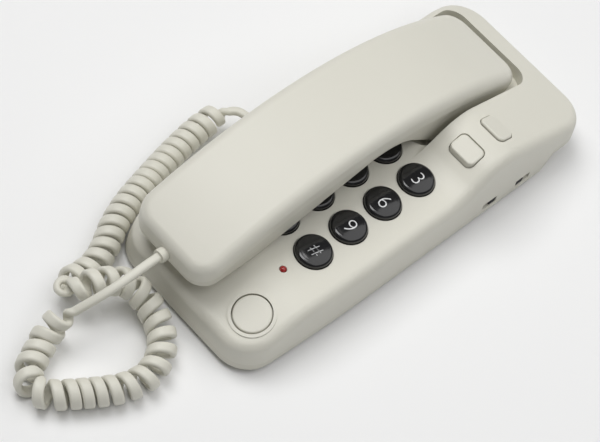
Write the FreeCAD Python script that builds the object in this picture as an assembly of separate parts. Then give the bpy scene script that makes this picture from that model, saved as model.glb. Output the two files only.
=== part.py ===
import FreeCAD, Part
import math
import os
from FreeCAD import Vector

# Corded desk telephone: a handset lying along the left of a long base with a keypad.
# Millimetres, +Z up, +Y towards the ear end, origin under the middle of the base on the table.

# Handset and base, overall
handset_length = 191.4
handset_width = 44.0
handset_setback = 0.2
handset_end_gap = 2.6
handset_left_margin = 6.5
far_lip = 11.8
base_width = 84.0
base_length = handset_setback + handset_length + handset_end_gap + far_lip
feet_height = 3.0
keypad_height = 25.0
shell_wall = 2.4
floor_wall = 2.0
side_draft_deg = 4.0
front_narrowing = 2.4
taper_length = 72.0
front_corner_radius = 15.0
far_corner_radius = 16.0
top_edge_radius = 5.0
part_clearance = 0.3
fit_clearance = 0.1

# Top of the base, seen from the side
front_slope_length = 31.0
front_slope_deg = 17.8
front_blend_radius = 40.0
ramp_setback = 91.0
ramp_deg = 33.0
ramp_radius = 24.0
crest_radius = 22.0
crest_rise = 11.0
decline_deg = 16.7
lip_blend_radius = 22.0

# Underside of the base
lower_strip = 3.0
step_setback = 29.0
step_length = 6.0
step_rise = 8.0

# Ear pocket of the base
pocket_depth = 9.5
pocket_side_gap_left = 1.5
pocket_side_gap_right = 2.8
pocket_length = 69.5
pocket_slope_run = 12.0
pocket_corner_radius = 8.0
pocket_floor_wall = 2.0

# Keypad
key_pitch = 20.0
key_diameter = 16.0
key_proud = 2.8
key_edge_radius = 1.6
key_hole_gap = 0.4
key_flange = 1.2
key_flange_height = 1.2
key_stem_diameter = 10.0
key_travel = 1.5
keypad_setback = 82.15
keypad_columns = 3
keypad_rows = 4

# Function buttons
button_column_inset_x = 17.2
redial_diameter = 16.0
redial_gap = 0.5
redial_flange = 1.2
redial_setback = 15.2
redial_lip_width = 1.4
redial_lip_height = 0.5
redial_edge_radius = 0.7
function_width = 13.4
function_length = 9.2
function_corner_radius = 2.6
function_proud = 1.0
function_edge_radius = 0.8
function_gap = 0.35
function_flange = 1.2
mute_setback = 70.6
mute_tilt_deg = 12.0
flash_setback = 53.0
flash_tilt_deg = -20.0
function_stem = 5.0

# Lamp
lamp_diameter = 3.0
lamp_inset_x = 23.5
lamp_offset = 45.5
lamp_proud = 1.0
lamp_round = 1.35
lamp_flange = 0.5
lamp_gap = 0.15

# Circuit board, rubber mat and their screws
board_top = 11.5
board_thickness = 1.6
board_side_gap = 0.7
board_front_offset = 56.0
board_far_offset = 42.0
board_wing_width = 14.5
board_wing_end = 80.0
mat_thickness = 1.2
mat_margin = 3.0
dome_diameter = 9.0
dome_gap = 0.3
dome_height = 2.8
boss_diameter = 6.0
boss_hole_gap = 0.6
board_screw_diameter = 2.2
board_screw_head = 4.6
board_screw_head_height = 1.6
board_screw_length = 6.0
screw_fit = 0.05

# Casing screws and feet
case_screw_diameter = 2.8
case_screw_head = 5.6
case_screw_head_height = 2.0
case_screw_length = 9.0
case_boss_diameter = 7.0
case_pad_height = 2.5
case_screw_inset_x = 7.6
front_screw_setback = 25.4
far_screw_setback = 31.5
foot_diameter = 10.0
foot_recess = 0.8
foot_inset_x = 15.0
foot_front_setback = 13.0
foot_far_setback = 42.0

# Sounder under the board
ringer_diameter = 27.0
ringer_thickness = 3.0
ringer_x = -8.0
ringer_offset = 6.0
ringer_slots = 5
ringer_slot_width = 1.6
ringer_slot_length = 16.0
ringer_slot_pitch = 3.6
ringer_slot_round = 0.75

# Wall hanging keyholes in the lower cover
keyhole_spacing = 80.0
keyhole_head = 8.4
keyhole_neck = 4.4
keyhole_reach = 7.0
keyhole_x = 20.0
keyhole_offset = 20.0

# Slide switches in the right side
switch_knob_length = 4.0
switch_travel = 4.0
switch_slot_height = 3.4
switch_slot_end_gap = 0.5
switch_knob_gap = 0.3
switch_body_length = 11.6
switch_body_width = 7.0
switch_body_height = 4.2
switch_knob_reach = 3.2
ringer_switch_setback = 63.5
dial_switch_setback = 42.2

# Line socket in the underside step and handset socket in the left side
line_socket_inset_x = 20.0
line_socket_width = 9.8
line_socket_height = 6.8
line_socket_depth = 11.0
line_body_wall = 1.2
line_ear = 1.4
plug_width = 7.6
plug_height = 6.6
plug_depth = 8.0
plug_tail = 4.4
plug_tail_start = 5.8
plug_tail_end = 4.7
cord_socket_wall = 1.2
cord_socket_depth = 9.4
cord_socket_offset = 2.0

# Hook switch
plunger_diameter = 5.0
plunger_collar = 8.0
plunger_collar_height = 1.0
plunger_gap = 0.1
plunger_setback = 54.0
plunger_offset = 12.0
hook_body_length = 12.0
hook_body_width = 8.0
hook_body_height = 4.0

# Handset form
arch_radius = 194.0
arch_peak = 31.0
arch_peak_setback = 84.0
seam_depth = 10.6
seam_radius = 223.0
handset_wall = 2.2
handset_corner_radius = 10.0
handset_top_radius = 5.0
handset_bottom_radius = 1.5
seam_step = 0.6
mouth_clearance = 0.3
mouth_length = 27.0
grip_rise_deg = 13.5
grip_peak = 15.4
grip_blend_radius = 34.0
ear_drop_deg = 40.0
ear_gap = 0.3
ear_blend_radius = 8.0

# Handset inside
receiver_diameter = 30.0
receiver_height = 7.0
receiver_rim = 1.4
receiver_rim_height = 3.0
receiver_end_setback = 21.5
ear_hole_diameter = 2.0
ear_hole_ring = 7.0
ear_holes = 6
microphone_diameter = 9.7
microphone_height = 5.0
boot_wall = 1.4
boot_base = 1.0
microphone_setback = 12.0
mouth_hole_diameter = 1.8
mouth_hole_pitch = 3.4
weight_length = 46.0
weight_width = 16.0
weight_height = 4.0
weight_setback = 92.0
weight_rib = 2.0
handset_screw_diameter = 2.6
handset_screw_head = 5.0
handset_screw_head_height = 1.8
handset_screw_length = 8.0
handset_boss_diameter = 6.4
mouth_screw_setback = 24.0
ear_screw_setback = 150.0
handset_pad_height = 4.2
grommet_diameter = 6.0
grommet_flange = 8.0
grommet_flange_width = 1.4
grommet_reach = 3.0
grommet_rise = 4.5

# Curly cord
wire_diameter = 3.8
coil_radius = 4.2
turn_gap = 0.55
cord_floor_gap = 0.15
coil_ramp = 11.0
ramp_pitch = 11.0
handset_lead = 30.0
plug_lead = 12.0
hairpin_reach = 8.0
hairpin_share = 0.3
hairpin_pitch = 13.0
axis_step = 0.1
bend_reach = 2.0
lead_step = 6.0

# Places worked out from the sizes above
front_y = -base_length / 2
far_y = base_length / 2
half_width = base_width / 2
button_column_x = half_width - button_column_inset_x
lamp_x = half_width - lamp_inset_x
base_bottom = feet_height
keypad_y = front_y + keypad_setback
handset_x = -half_width + handset_left_margin + handset_width / 2
handset_near = front_y + handset_setback
handset_far = handset_near + handset_length
pocket_left = handset_x - handset_width / 2 - pocket_side_gap_left
pocket_right = handset_x + handset_width / 2 + pocket_side_gap_right
pocket_far = handset_far + handset_end_gap
pocket_near = pocket_far - pocket_length
pocket_floor = keypad_height - pocket_depth
span = base_length + base_width


def along_y(edges):
    """Face in the YZ plane swept across the whole width."""
    wire = Part.Wire(edges)
    face = Part.Face(wire)
    face.translate(Vector(-span / 2, 0, 0))
    return face.extrude(Vector(span, 0, 0))


def yz(y, z):
    return Vector(0, y, z)


def line(a, b):
    return Part.LineSegment(a, b).toShape()


def arc(a, b, c):
    return Part.Arc(a, b, c).toShape()


def turn_arc(start, heading_deg, radius, turn_deg):
    """Arc in the YZ plane that leaves start along heading and turns by turn_deg (left positive)."""
    side = 1 if turn_deg > 0 else -1
    heading = math.radians(heading_deg)
    center = start + yz(-math.sin(heading), math.cos(heading)) * (radius * side)

    def at(turned_deg):
        angle = heading + math.radians(turned_deg) - side * math.pi / 2
        return center + yz(math.cos(angle), math.sin(angle)) * radius

    return arc(start, at(turn_deg / 2), at(turn_deg)), at(turn_deg)


def box(x0, x1, y0, y1, z0, z1):
    return Part.makeBox(x1 - x0, y1 - y0, z1 - z0, Vector(x0, y0, z0))


def rod(diameter, height, base, axis=Vector(0, 0, 1)):
    return Part.makeCylinder(diameter / 2, height, base, axis)


def rounded_block(x0, x1, y0, y1, z0, z1, radius):
    block = box(x0, x1, y0, y1, z0, z1)
    corners = [e for e in block.Edges if abs(e.tangentAt(e.FirstParameter).z) > 0.9]
    return block.makeFillet(radius, corners)


def face_slope(edge, face):
    """Height of the face's outward normal at the middle of one of its edges."""
    middle = edge.valueAt((edge.FirstParameter + edge.LastParameter) / 2)
    u, v = face.Surface.parameter(middle)
    return face.normalAt(u, v).z


def rim_edges(shape, up):
    """Edges where a face that looks up (or down) meets a wall."""
    found = []
    for edge in shape.Edges:
        faces = shape.ancestorsOfType(edge, Part.Face)
        if len(faces) != 2:
            continue
        slopes = sorted(face_slope(edge, f) * (1 if up else -1) for f in faces)
        if slopes[1] > 0.55 and abs(slopes[0]) < 0.35:
            found.append(edge)
    return found


def export(name, shape):
    shape = shape.removeSplitter() if len(shape.Solids) == 1 else shape
    shape.exportStep("parts/" + name + ".step")
    box_ = shape.optimalBoundingBox()
    print("%-22s solids %d valid %s volume %.0f  x %.1f..%.1f y %.1f..%.1f z %.1f..%.1f" % (
        name, len(shape.Solids), shape.isValid(), shape.Volume,
        box_.XMin, box_.XMax, box_.YMin, box_.YMax, box_.ZMin, box_.ZMax))


# Base casing

def plan_outline(inset, z):
    """Outline of the base seen from above: straight far part, sides drawn in towards the front."""
    wide = half_width - inset
    narrow = wide - front_narrowing
    near = front_y + inset
    far = far_y - inset + step_rise * math.tan(math.radians(side_draft_deg))
    start = near + taper_length
    radius = (taper_length ** 2 + front_narrowing ** 2) / (2 * front_narrowing)
    half = math.asin(taper_length / radius) / 2
    bulge_x = wide - radius * (1 - math.cos(half))
    bulge_y = start - radius * math.sin(half)
    edges = [
        line(Vector(-wide, far, z), Vector(wide, far, z)),
        line(Vector(wide, far, z), Vector(wide, start, z)),
        arc(Vector(wide, start, z), Vector(bulge_x, bulge_y, z), Vector(narrow, near, z)),
        line(Vector(narrow, near, z), Vector(-narrow, near, z)),
        arc(Vector(-narrow, near, z), Vector(-bulge_x, bulge_y, z), Vector(-wide, start, z)),
        line(Vector(-wide, start, z), Vector(-wide, far, z))]
    return Part.Wire(edges)


def upright_edges(shape):
    return [e for e in shape.Edges if abs(e.Vertexes[0].Z - e.Vertexes[-1].Z) > base_bottom]


def plan_block(inset):
    """Drafted block over the plan outline, with rounded upright corners."""
    low = base_bottom
    high = keypad_height + crest_rise + top_edge_radius
    lean = (high - low) * math.tan(math.radians(side_draft_deg))
    block = Part.makeLoft([plan_outline(inset, low), plan_outline(inset + lean, high)], True, True)
    front = [e for e in upright_edges(block) if e.BoundBox.YMin < front_y + taper_length / 4]
    block = block.makeFillet(front_corner_radius - inset, front)
    far = [e for e in upright_edges(block) if e.BoundBox.YMax > far_y - far_corner_radius]
    return block.makeFillet(far_corner_radius - inset, far)


def front_edges(z):
    """Front slope blended into the flat keypad; returns the edges and the end of the blend."""
    reach = front_blend_radius * math.tan(math.radians(front_slope_deg) / 2)
    bend = front_y + front_slope_length
    slope = math.tan(math.radians(front_slope_deg))
    outside = front_y - shell_wall
    start = yz(outside, z - (bend - outside) * slope)
    low = yz(bend - reach * math.cos(math.radians(front_slope_deg)),
             z - reach * math.sin(math.radians(front_slope_deg)))
    blend, end = turn_arc(low, front_slope_deg, front_blend_radius, -front_slope_deg)
    return [line(start, low), blend], start, end


def close_below(edges, start, end):
    floor = -span
    a = yz(end.y, floor)
    b = yz(start.y, floor)
    return edges + [line(end, a), line(a, b), line(b, start)]


def decline_line(z):
    """Point and direction of the straight decline behind the crest."""
    ramp = math.radians(ramp_deg)
    fall = math.radians(decline_deg)
    low_rise = ramp_radius * (1 - math.cos(ramp))
    crest_drop = crest_radius * (1 - math.cos(ramp))
    straight = crest_rise - low_rise - crest_drop
    y = far_y - ramp_setback + ramp_radius * math.sin(ramp) + straight / math.tan(ramp)
    y += crest_radius * (math.sin(ramp) + math.sin(fall))
    return yz(y, z + crest_rise - crest_radius * (1 - math.cos(fall))), -math.tan(fall)


def crest_profile(drop):
    """Side profile with the raised crest beside the ear pocket."""
    z = keypad_height - drop
    edges, start, flat = front_edges(z)
    foot = yz(far_y - ramp_setback, z)
    ramp, on_ramp = turn_arc(foot, 0, ramp_radius, ramp_deg)
    top, slope = decline_line(z)
    turn = math.radians(ramp_deg)
    under = yz(top.y - crest_radius * (math.sin(turn) + math.sin(math.radians(decline_deg))),
               z + crest_rise - crest_radius * (1 - math.cos(turn)))
    crest, after = turn_arc(under, ramp_deg, crest_radius, -(ramp_deg + decline_deg))
    outside = far_y + shell_wall
    end = yz(outside, after.z + (outside - after.y) * slope)
    edges = edges + [line(flat, foot), ramp, line(on_ramp, under), crest, line(after, end)]
    return along_y(close_below(edges, start, end))


def low_profile(drop):
    """Side profile without the crest: flat up to the ear end, then the same decline."""
    z = keypad_height - drop
    edges, start, flat = front_edges(z)
    top, slope = decline_line(z)
    cross = top.y - (top.z - z) / slope
    reach = lip_blend_radius * math.tan(math.radians(decline_deg) / 2)
    foot = yz(cross - reach, z)
    blend, after = turn_arc(foot, 0, lip_blend_radius, -decline_deg)
    outside = far_y + shell_wall
    end = yz(outside, after.z + (outside - after.y) * slope)
    edges = edges + [line(flat, foot), blend, line(after, end)]
    return along_y(close_below(edges, start, end))


def underside(rise):
    """Everything above the stepped underside, raised by rise."""
    z = base_bottom + rise
    step = far_y - step_setback
    top = keypad_height + span
    points = [yz(front_y - span / 4, z), yz(step, z), yz(step + step_length, z + step_rise),
              yz(far_y + span / 4, z + step_rise), yz(far_y + span / 4, top), yz(front_y - span / 4, top)]
    edges = [line(a, b) for a, b in zip(points, points[1:] + points[:1])]
    return along_y(edges)


def base_form(inset, rounded):
    """Outer form of the base (inset 0) or its inside (inset one wall)."""
    plan = plan_block(inset)
    right = plan.common(crest_profile(inset))
    left = plan.common(low_profile(inset))
    if rounded:
        right = right.makeFillet(top_edge_radius, rim_edges(right, True))
        left = left.makeFillet(top_edge_radius, rim_edges(left, True))
    divide = pocket_right + inset
    right = right.common(box(divide, span, -span, span, -span, span))
    left = left.common(box(-span, divide, -span, span, -span, span))
    return right.fuse(left).removeSplitter()


def crest_height(y):
    """Height of the base's top at y on the crest side."""
    z = keypad_height
    ramp = math.radians(ramp_deg)
    foot = far_y - ramp_setback
    top, slope = decline_line(z)
    under = top.y - crest_radius * (math.sin(ramp) + math.sin(math.radians(decline_deg)))
    peak = under + crest_radius * math.sin(ramp)
    if y <= foot:
        return z
    if y <= foot + ramp_radius * math.sin(ramp):
        return z + ramp_radius - math.sqrt(ramp_radius ** 2 - (y - foot) ** 2)
    if y <= under:
        start = z + ramp_radius * (1 - math.cos(ramp))
        return start + (y - foot - ramp_radius * math.sin(ramp)) * math.tan(ramp)
    if y <= top.y:
        return z + crest_rise - crest_radius + math.sqrt(crest_radius ** 2 - (y - peak) ** 2)
    return top.z + (y - top.y) * slope


def pocket_solid(grow, floor):
    """Ear pocket with a sloping near wall and round corners, grown on its sides."""
    near = pocket_near - grow
    far = pocket_far + grow
    top = keypad_height + crest_rise + span
    points = [yz(near, top), yz(near, keypad_height), yz(near + pocket_slope_run, floor),
              yz(far, floor), yz(far, top)]
    edges = [line(a, b) for a, b in zip(points, points[1:] + points[:1])]
    plan = rounded_block(pocket_left - grow, pocket_right + grow, near, far, floor, top,
                         pocket_corner_radius + grow)
    return plan.common(along_y(edges))


# Places of the keys, buttons and screws

key_names = [["1", "2", "3"], ["4", "5", "6"], ["7", "8", "9"], ["star", "0", "hash"]]


def key_places():
    places = []
    for row in range(keypad_rows):
        for column in range(keypad_columns):
            x = (column - (keypad_columns - 1) / 2) * key_pitch
            y = keypad_y + ((keypad_rows - 1) / 2 - row) * key_pitch
            places.append((key_names[row][column], x, y))
    return places


mute_y = far_y - mute_setback
flash_y = far_y - flash_setback
redial_y = front_y + redial_setback
slope_tilt = math.radians(front_slope_deg)
redial_axis = Vector(0, -math.sin(slope_tilt), math.cos(slope_tilt))
redial_top = Vector(button_column_x, redial_y,
                    keypad_height - (front_slope_length - redial_setback) * math.tan(slope_tilt))
redial_hole = redial_diameter + 2 * redial_gap
lamp_y = keypad_y - lamp_offset
case_screws = [(side * (half_width - case_screw_inset_x), y)
               for y in (front_y + front_screw_setback, far_y - far_screw_setback) for side in (-1, 1)]
board_screws = [(i * key_pitch / 2, keypad_y + j * key_pitch) for j in (-1, 1) for i in (-1, 1)]
feet_places = [(side * (half_width - foot_inset_x), y)
               for y in (front_y + foot_front_setback, far_y - foot_far_setback) for side in (-1, 1)]
cover_floor = base_bottom + floor_wall
seam_height = base_bottom + lower_strip
plunger_x = handset_x - plunger_offset
plunger_y = far_y - plunger_setback
board_half_width = half_width - shell_wall - cord_socket_depth - board_side_gap
board_wing_x = board_half_width - board_wing_width
cord_socket_y = keypad_y + cord_socket_offset
cord_socket_base = seam_height
cord_socket_top = cord_socket_base + 2 * cord_socket_wall + plug_height + 2 * fit_clearance
cord_socket_half = plug_width / 2 + fit_clearance + cord_socket_wall
plug_height_z = (cord_socket_base + cord_socket_top) / 2
line_socket_x = half_width - line_socket_inset_x
line_half = line_socket_width / 2 + line_body_wall
line_top = base_bottom + 2 * line_body_wall + line_socket_height
line_front = far_y - step_setback + step_length
switch_face = half_width - shell_wall - (switch_slot_height + lower_strip) * math.tan(
    math.radians(side_draft_deg)) - 2 * part_clearance


def function_block(y, grow, z0, z1):
    side = function_width / 2 + grow
    end = function_length / 2 + grow
    return rounded_block(button_column_x - side, button_column_x + side, y - end, y + end, z0, z1,
                         function_corner_radius + grow)


def switch_slot(y):
    half = (switch_knob_length + switch_travel) / 2 + switch_slot_end_gap
    top = seam_height + switch_slot_height
    return box(switch_face, half_width + 1, y - half, y + half, seam_height - 1, top)


def cord_socket_block(grow):
    inner = -half_width + shell_wall + cord_socket_depth
    return box(-half_width - 1, inner + grow, cord_socket_y - cord_socket_half - grow,
               cord_socket_y + cord_socket_half + grow, cord_socket_base, cord_socket_top + grow)


def line_socket_block(grow):
    back = line_front - line_socket_depth - line_body_wall
    return box(line_socket_x - line_half - grow, line_socket_x + line_half + grow, back - grow,
               line_front + 1, base_bottom, line_top + grow)


# Base pieces

def base_upper_cover(form, inside):
    cover = form.common(underside(lower_strip)).cut(inside)
    pocket = pocket_solid(shell_wall, pocket_floor - pocket_floor_wall).common(form)
    cover = cover.fuse(pocket)
    ceiling = keypad_height - shell_wall / 2
    bosses = [rod(boss_diameter, ceiling - board_top, Vector(x, y, board_top)) for x, y in board_screws]
    pad_top = cover_floor + case_pad_height
    for x, y in case_screws:
        bosses.append(rod(case_boss_diameter, keypad_height + crest_rise - pad_top, Vector(x, y, pad_top)))
    roof = [boss.common(form) for boss in bosses]
    cover = cover.fuse(roof)
    cuts = [pocket_solid(0, pocket_floor)]
    hole = key_diameter + 2 * key_hole_gap
    for name, x, y in key_places():
        cuts.append(rod(hole, 3 * shell_wall, Vector(x, y, keypad_height - 2 * shell_wall)))
    for y in (mute_y, flash_y):
        cuts.append(function_block(y, function_gap, keypad_height - shell_wall, keypad_height + 2 * crest_rise))
    cuts.append(rod(lamp_diameter + 2 * lamp_gap, 3 * shell_wall,
                    Vector(lamp_x, lamp_y, keypad_height - 2 * shell_wall)))
    for x, y in board_screws:
        cuts.append(rod(board_screw_diameter + 2 * screw_fit, board_screw_length, Vector(x, y, board_top)))
    for x, y in case_screws:
        cuts.append(rod(case_screw_diameter + 2 * screw_fit, case_screw_length,
                        Vector(x, y, pad_top - floor_wall)))
    for setback in (ringer_switch_setback, dial_switch_setback):
        cuts.append(switch_slot(far_y - setback))
    cuts.append(cord_socket_block(fit_clearance))
    cuts.append(rod(plunger_diameter + 2 * plunger_gap, 4 * pocket_floor_wall,
                    Vector(plunger_x, plunger_y, pocket_floor - 2 * pocket_floor_wall)))
    lip = rod(redial_hole + 2 * redial_lip_width, shell_wall,
              redial_top - redial_axis * (shell_wall - redial_lip_height), redial_axis)
    cover = cover.fuse(lip)
    cuts.append(rod(redial_hole, 4 * shell_wall, redial_top - redial_axis * (2 * shell_wall), redial_axis))
    for cut in cuts:
        cover = cover.cut(cut)
    return cover


def base_lower_cover(form, inside):
    cover = form.cut(underside(lower_strip)).cut(inside.common(underside(floor_wall)))
    pads = [rod(case_boss_diameter + floor_wall, floor_wall + case_pad_height, Vector(x, y, base_bottom))
            for x, y in case_screws]
    ledge = cord_socket_block(0).common(inside)
    ledge_box = ledge.BoundBox
    pads.append(box(ledge_box.XMin, ledge_box.XMax, ledge_box.YMin, ledge_box.YMax,
                    base_bottom, cord_socket_base))
    cover = cover.fuse([pad.common(form) for pad in pads])
    cuts = []
    head_seat = cover_floor + case_pad_height - floor_wall
    for x, y in case_screws:
        place = Vector(x, y, base_bottom)
        cuts.append(rod(case_screw_head + 4 * fit_clearance, head_seat - base_bottom, place))
        cuts.append(rod(case_screw_diameter + 4 * fit_clearance, span, place))
    for x, y in feet_places:
        cuts.append(rod(foot_diameter + 2 * fit_clearance, foot_recess, Vector(x, y, base_bottom)))
    first = ringer_offset - (ringer_slots - 1) / 2 * ringer_slot_pitch
    for i in range(ringer_slots):
        y = keypad_y + first + i * ringer_slot_pitch
        cuts.append(rounded_block(ringer_x - ringer_slot_length / 2, ringer_x + ringer_slot_length / 2,
                                  y - ringer_slot_width / 2, y + ringer_slot_width / 2, 0, cover_floor + 1,
                                  ringer_slot_round))
    for y in keyhole_places():
        cuts.append(rod(keyhole_head, floor_wall + 1, Vector(keyhole_x, y, base_bottom - 1 / 2)))
        cuts.append(box(keyhole_x - keyhole_neck / 2, keyhole_x + keyhole_neck / 2, y, y + keyhole_reach,
                        base_bottom - 1, cover_floor + 1))
        cuts.append(rod(keyhole_neck, floor_wall + 2, Vector(keyhole_x, y + keyhole_reach, base_bottom - 1)))
    cuts.append(line_socket_block(fit_clearance))
    for cut in cuts:
        cover = cover.cut(cut)
    return cover


def keyhole_places():
    middle = keypad_y + keyhole_offset
    return [middle - keyhole_spacing / 2, middle + keyhole_spacing / 2]


def base_feet():
    foot_height = feet_height + foot_recess
    return Part.makeCompound([rod(foot_diameter, foot_height, Vector(x, y, 0)) for x, y in feet_places])


def screw(x, y, seat, head, head_height, diameter, length):
    """Pan head screw driven upwards, its head under the seat."""
    top = rod(head, head_height, Vector(x, y, seat - head_height))
    return top.fuse(rod(diameter, length, Vector(x, y, seat)))


def base_screws():
    seat = cover_floor + case_pad_height - floor_wall
    return Part.makeCompound([screw(x, y, seat, case_screw_head, case_screw_head_height, case_screw_diameter,
                                    case_screw_length) for x, y in case_screws])


def board_fixings():
    seat = board_top - board_thickness
    return Part.makeCompound([screw(x, y, seat, board_screw_head, board_screw_head_height, board_screw_diameter,
                                    board_screw_length) for x, y in board_screws])


def sheet(z0, z1, margin):
    """Outline shared by the circuit board and the rubber mat on it."""
    front = keypad_y - board_front_offset + margin
    side = board_half_width - margin
    plate = box(-side, side, front, keypad_y + board_far_offset - margin, z0, z1)
    wing = box(board_wing_x + margin, side, keypad_y, keypad_y + board_wing_end - margin, z0, z1)
    tongue = box(board_wing_x + margin, side, front_y + redial_setback / 2 + margin, keypad_y, z0, z1)
    return plate.fuse([wing, tongue])


def main_board():
    board = sheet(board_top - board_thickness, board_top, 0)
    for x, y in board_screws:
        board = board.cut(rod(board_screw_diameter + 4 * fit_clearance, 2 * board_thickness,
                              Vector(x, y, board_top - board_thickness * 1.5)))
    return board.removeSplitter()


key_bottom = board_top + mat_thickness + dome_height + dome_gap + key_travel
dome_top = key_bottom - key_travel - dome_gap


def keypad_mat():
    mat_top = board_top + mat_thickness
    mat = sheet(board_top, mat_top, mat_margin)
    for x, y in board_screws:
        mat = mat.cut(rod(boss_diameter + 2 * boss_hole_gap, mat_thickness, Vector(x, y, board_top)))
    mat = mat.cut(rod(lamp_diameter + 4 * boss_hole_gap, mat_thickness, Vector(lamp_x, lamp_y, board_top)))
    places = [(x, y) for name, x, y in key_places()] + [(button_column_x, mute_y), (button_column_x, flash_y)]
    domes = []
    for x, y in places:
        domes.append(Part.makeCone(dome_diameter / 2, dome_diameter / 3, dome_top - mat_top,
                                   Vector(x, y, mat_top)))
    return mat.fuse(domes).removeSplitter()


def led_lens():
    stem = rod(lamp_diameter, keypad_height + lamp_proud - board_top, Vector(lamp_x, lamp_y, board_top))
    stem = stem.makeFillet(lamp_round, [e for e in stem.Edges if e.BoundBox.ZMin > keypad_height])
    return stem.fuse(rod(lamp_diameter + 2 * lamp_flange, lamp_flange, Vector(lamp_x, lamp_y, board_top)))


def ringer_disc():
    place = Vector(ringer_x, keypad_y + ringer_offset, cover_floor)
    disc = rod(ringer_diameter, ringer_thickness, place)
    return disc.cut(rod(ringer_diameter - 2 * floor_wall, ringer_thickness / 2, place))


def hook_switch():
    body = box(plunger_x - hook_body_width / 2, plunger_x + hook_body_width / 2,
               plunger_y - hook_body_length / 2, plunger_y + hook_body_length / 2,
               cover_floor, cover_floor + hook_body_height)
    well = Vector(plunger_x, plunger_y, cover_floor + plunger_gap)
    return body.cut(rod(plunger_diameter + 2 * plunger_gap, span, well))


def hook_plunger():
    bottom = cover_floor + 2 * part_clearance
    top = pocket_floor + ear_gap - fit_clearance
    stem = rod(plunger_diameter, top - bottom, Vector(plunger_x, plunger_y, bottom))
    rest = cover_floor + hook_body_height + fit_clearance
    return stem.fuse(rod(plunger_collar, plunger_collar_height, Vector(plunger_x, plunger_y, rest)))


def switch_body(setback):
    y = far_y - setback
    outer = switch_face - switch_knob_gap
    return box(outer - switch_body_width, outer, y - switch_body_length / 2, y + switch_body_length / 2,
               cover_floor, cover_floor + switch_body_height)


def switch_knob(setback, side):
    y = far_y - setback + side * switch_travel / 2
    gap = switch_knob_gap
    return box(switch_face, switch_face + switch_knob_reach,
               y - switch_knob_length / 2, y + switch_knob_length / 2,
               seam_height + gap, seam_height + switch_slot_height - gap)


def line_jack(form):
    body = line_socket_block(0).common(form)
    ear_side = line_half + line_ear
    ears = box(line_socket_x - ear_side, line_socket_x + ear_side, line_front - line_socket_depth,
               line_front - step_length - line_ear, cover_floor, cover_floor + line_body_wall)
    mouth = box(line_socket_x - line_socket_width / 2, line_socket_x + line_socket_width / 2,
                line_front - line_socket_depth, line_front + 2, base_bottom + line_body_wall,
                base_bottom + line_body_wall + line_socket_height)
    return body.fuse(ears).cut(mouth)


def handset_jack(form):
    body = cord_socket_block(0).common(form)
    gap = fit_clearance
    deep = -half_width + shell_wall + cord_socket_depth - cord_socket_wall
    hole = box(-half_width - 2, deep,
               cord_socket_y - plug_width / 2 - gap, cord_socket_y + plug_width / 2 + gap,
               plug_height_z - plug_height / 2 - gap, plug_height_z + plug_height / 2 + gap)
    return body.cut(hole)


plug_tip = -half_width + shell_wall + cord_socket_depth - cord_socket_wall - part_clearance
plug_end = plug_tip - plug_depth - plug_tail


def cord_plug():
    body = box(plug_end + plug_tail / 2, plug_tip,
               cord_socket_y - plug_width / 2, cord_socket_y + plug_width / 2,
               plug_height_z - plug_height / 2, plug_height_z + plug_height / 2)
    tail = Part.makeCone(plug_tail_end / 2, plug_tail_start / 2, plug_tail / 2,
                         Vector(plug_end, cord_socket_y, plug_height_z), Vector(1, 0, 0))
    return body.fuse(tail)


def key(name, x, y):
    top = keypad_height + key_proud
    flange_top = keypad_height - shell_wall
    cap = rod(key_diameter, top - flange_top + key_flange_height, Vector(x, y, flange_top - key_flange_height))
    cap = cap.makeFillet(key_edge_radius, [e for e in cap.Edges if e.BoundBox.ZMin > keypad_height])
    flange = rod(key_diameter + 2 * key_flange, key_flange_height, Vector(x, y, flange_top - key_flange_height))
    stem = rod(key_stem_diameter, flange_top - key_bottom, Vector(x, y, key_bottom))
    return cap.fuse([flange, stem]).removeSplitter()


def redial_button():
    flange_top = redial_top - redial_axis * (shell_wall * math.cos(slope_tilt) + fit_clearance)
    start = flange_top - redial_axis * redial_flange
    height = (redial_top - start).Length + redial_lip_height
    cap = rod(redial_diameter, height, start, redial_axis)
    rim = max((e for e in cap.Edges if len(e.Vertexes) == 1), key=lambda e: e.CenterOfMass.z)
    cap = cap.makeFillet(redial_edge_radius, [rim])
    flange_diameter = redial_hole + 2 * redial_flange
    return cap.fuse(rod(flange_diameter, redial_flange, start, redial_axis))


def function_button(y, tilt_deg):
    reach = function_length / 2 + 2 * function_flange
    lowest = min(crest_height(y - reach), crest_height(y + reach))
    flange_top = lowest - shell_wall - fit_clearance
    top = crest_height(y) + function_proud
    cap = function_block(y, 0, flange_top - function_flange, top + function_length)
    tilt = math.tan(math.radians(tilt_deg)) * function_length
    points = [yz(y - function_length, top - tilt), yz(y + function_length, top + tilt),
              yz(y + function_length, top - span), yz(y - function_length, top - span)]
    cap = cap.common(along_y([line(a, b) for a, b in zip(points, points[1:] + points[:1])]))
    cap = cap.makeFillet(function_edge_radius, rim_edges(cap, True))
    flange = function_block(y, function_gap + function_flange, flange_top - function_flange, flange_top)
    stem = rod(function_stem, flange_top - key_bottom, Vector(button_column_x, y, key_bottom))
    return cap.fuse([flange, stem]).removeSplitter()


# Handset

arch_y = handset_near + arch_peak_setback
arch_top = keypad_height + arch_peak
mouth_z = keypad_height + mouth_clearance
ear_z = pocket_floor + ear_gap


def handset_plan(inset):
    return rounded_block(handset_x - handset_width / 2 + inset, handset_x + handset_width / 2 - inset,
                         handset_near + inset, handset_far - inset, 0, span, handset_corner_radius - inset)


def under_arch(drop):
    """Everything under the arched top, lowered by drop."""
    radius = arch_radius - drop
    return Part.makeCylinder(radius, span, Vector(-span / 2, arch_y, arch_top - arch_radius), Vector(1, 0, 0))


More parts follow.
